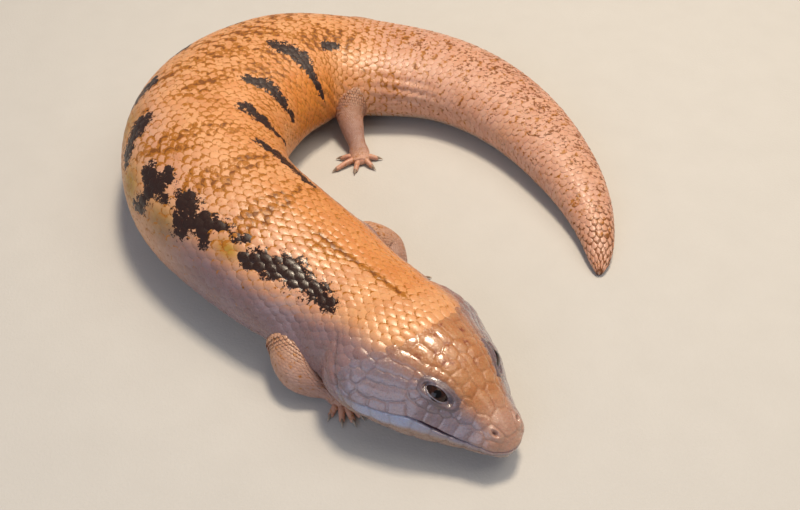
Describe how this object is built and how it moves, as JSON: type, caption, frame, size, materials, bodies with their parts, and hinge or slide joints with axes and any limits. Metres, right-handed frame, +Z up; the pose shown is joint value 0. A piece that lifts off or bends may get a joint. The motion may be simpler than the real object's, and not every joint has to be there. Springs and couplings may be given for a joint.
{
  "type": "blue-tongued skink",
  "caption": "Life-size blue-tongued skink lying in a curve on flat ground, with a broad head, stout body, short legs and thick tapering tail.",
  "frame": {"origin": "middle of the footprint at ground level", "axes": "+Z up from the ground, the head points to -Y and +X, the tail curls round to +X"},
  "size_m": [0.2089, 0.264, 0.046],
  "materials": {
    "head_skin": "glossy scales",
    "body_skin": "satin scales",
    "tail_skin": "satin scales",
    "leg_skin": "fine satin scales",
    "eye": "wet gloss"
  },
  "bodies": {
    "root": {"head": "head_skin", "right_eye": "eye", "left_eye": "eye", "neck": "body_skin", "torso_shoulders": "body_skin", "torso_middle": "body_skin", "torso_rear": "body_skin", "hips": "body_skin", "tail_base": "tail_skin", "tail_middle": "tail_skin", "tail_tip": "tail_skin", "right_upper_arm": "leg_skin", "right_forearm": "leg_skin", "right_hand": "leg_skin", "left_upper_arm": "leg_skin", "left_forearm": "leg_skin", "left_hand": "leg_skin", "right_thigh": "leg_skin", "right_shin": "leg_skin", "right_foot": "leg_skin", "left_thigh": "leg_skin", "left_shin": "leg_skin", "left_foot": "leg_skin"}
  },
  "joints": []
}
